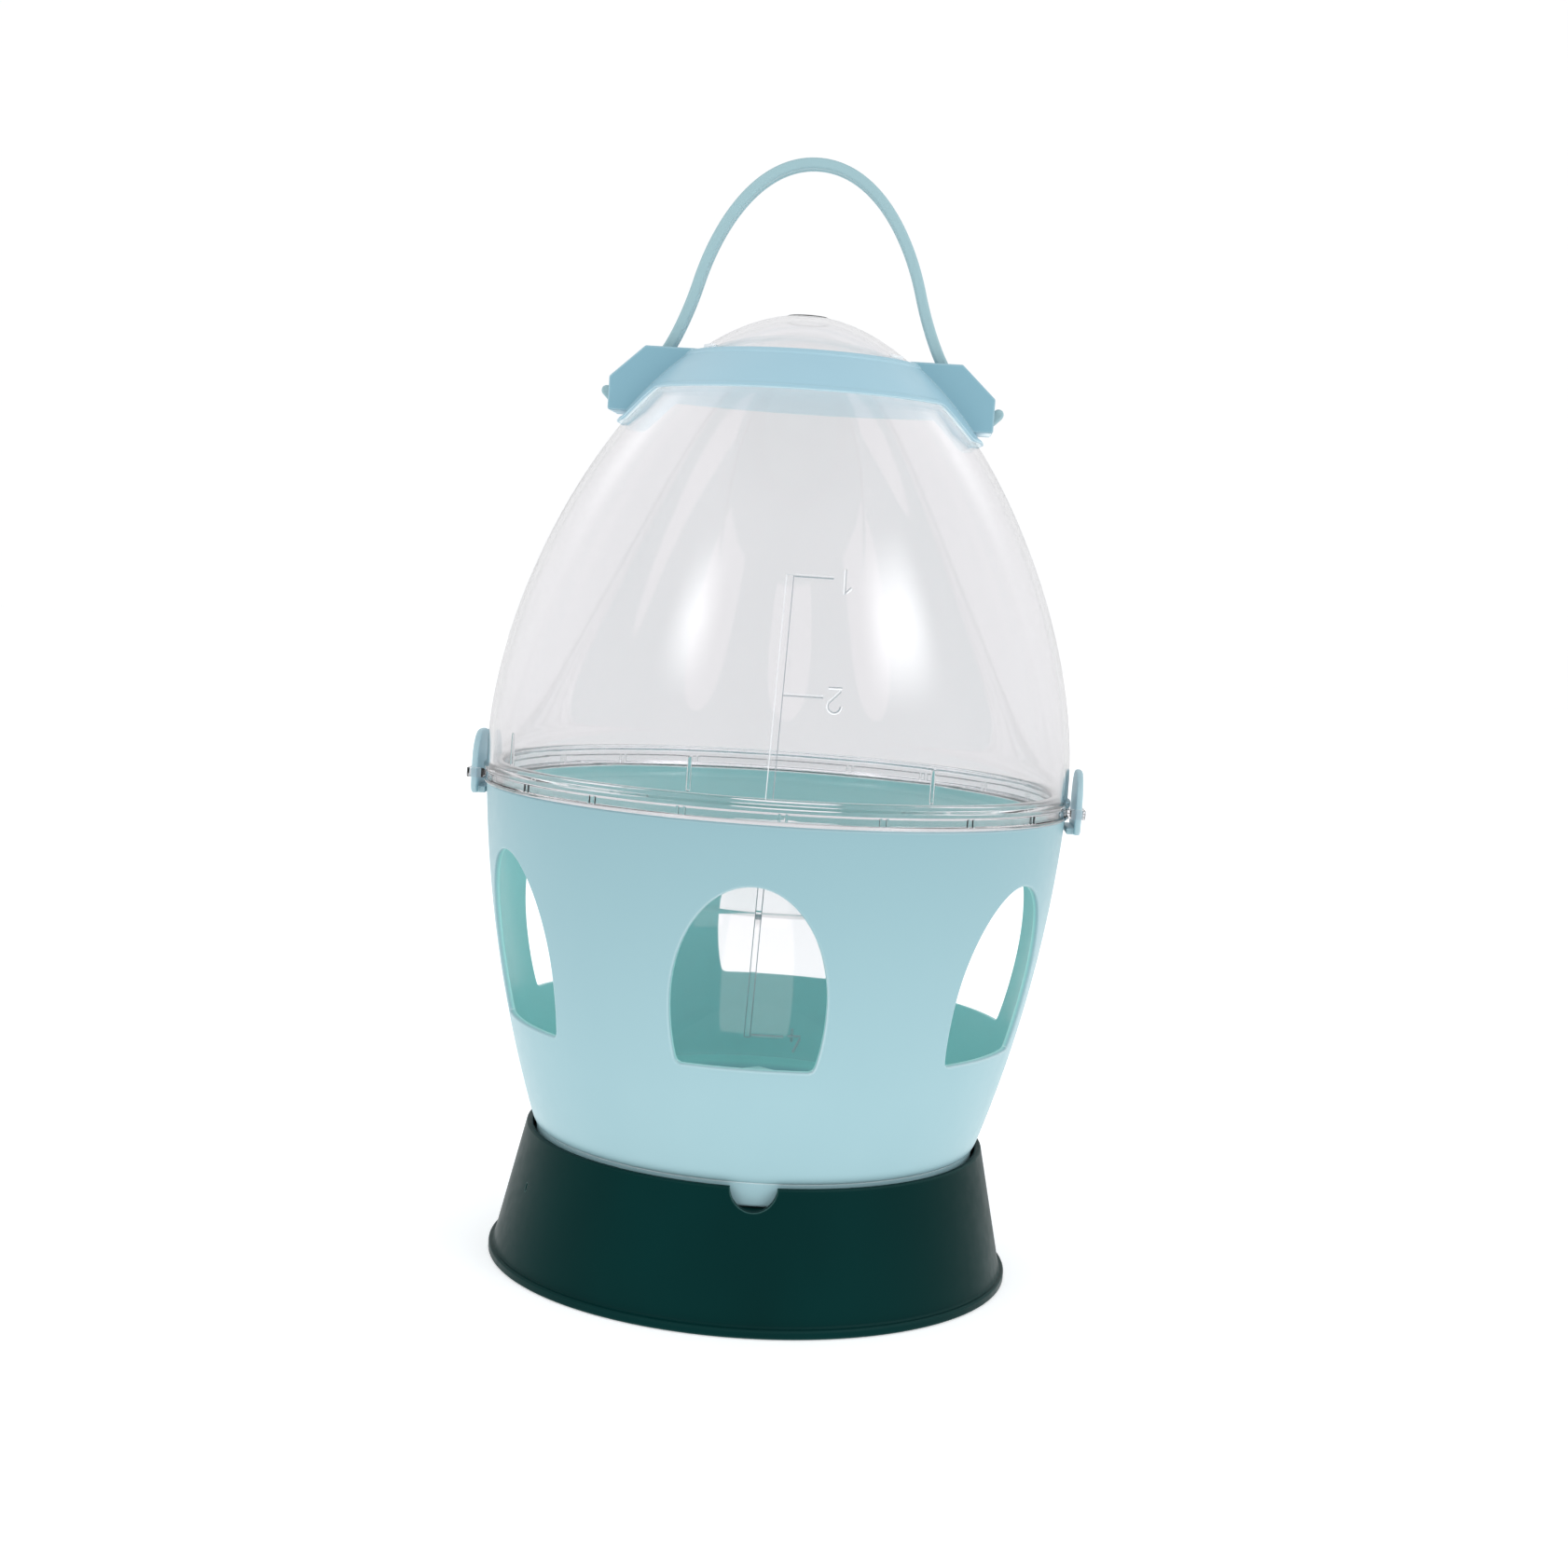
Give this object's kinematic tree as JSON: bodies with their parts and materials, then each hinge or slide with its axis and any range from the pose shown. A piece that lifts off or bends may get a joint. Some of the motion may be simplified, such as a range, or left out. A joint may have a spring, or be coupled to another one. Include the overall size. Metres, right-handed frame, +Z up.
{
  "type": "gravity feeder",
  "caption": "Egg-shaped gravity feeder or drinker for pigeons and poultry: clear tank with strap handle, latched on a windowed bowl in a conical base ring.",
  "frame": {"origin": "centre of the base ring's underside, on the turning axis", "axes": "+Z up along the turning axis, -Y towards the front window, +X towards the right latch and ear"},
  "size_m": [0.21, 0.2, 0.3771],
  "materials": {
    "clear_plastic": "clear, polished",
    "teal_plastic": "gloss moulded",
    "light_blue_plastic": "gloss moulded",
    "flexible_teal_plastic": "satin, flexible",
    "dark_green_plastic": "gloss moulded"
  },
  "bodies": {
    "base": {"base_ring": "dark_green_plastic"},
    "bowl": {"feed_bowl": "teal_plastic"},
    "left_latch": {"left_latch": "teal_plastic"},
    "right_latch": {"right_latch": "teal_plastic"},
    "tank": {"tank_dome": "clear_plastic", "tank_hopper": "clear_plastic", "carry_collar": "light_blue_plastic"},
    "handle": {"handle_strap": "flexible_teal_plastic"}
  },
  "joints": [
    {"name": "bowl_lift", "type": "slide", "parent": "base", "child": "bowl", "axis": [0, 0, 1], "range_m": [0, 0.04]},
    {"name": "left_latch_flex", "type": "hinge", "parent": "bowl", "child": "left_latch", "pos_m": [-0.0994, 0, 0.1576], "axis": [0, 1, 0], "range_deg": [0, 4]},
    {"name": "right_latch_flex", "type": "hinge", "parent": "bowl", "child": "right_latch", "pos_m": [0.0994, 0, 0.1576], "axis": [0, -1, 0], "range_deg": [0, 4]},
    {"name": "tank_lift", "type": "slide", "parent": "bowl", "child": "tank", "axis": [0, 0, 1], "range_m": [0, 0.125]},
    {"name": "handle_swing", "type": "hinge", "parent": "tank", "child": "handle", "pos_m": [0, 0, 0.2973], "axis": [1, 0, 0], "range_deg": [-12, 12]}
  ]
}
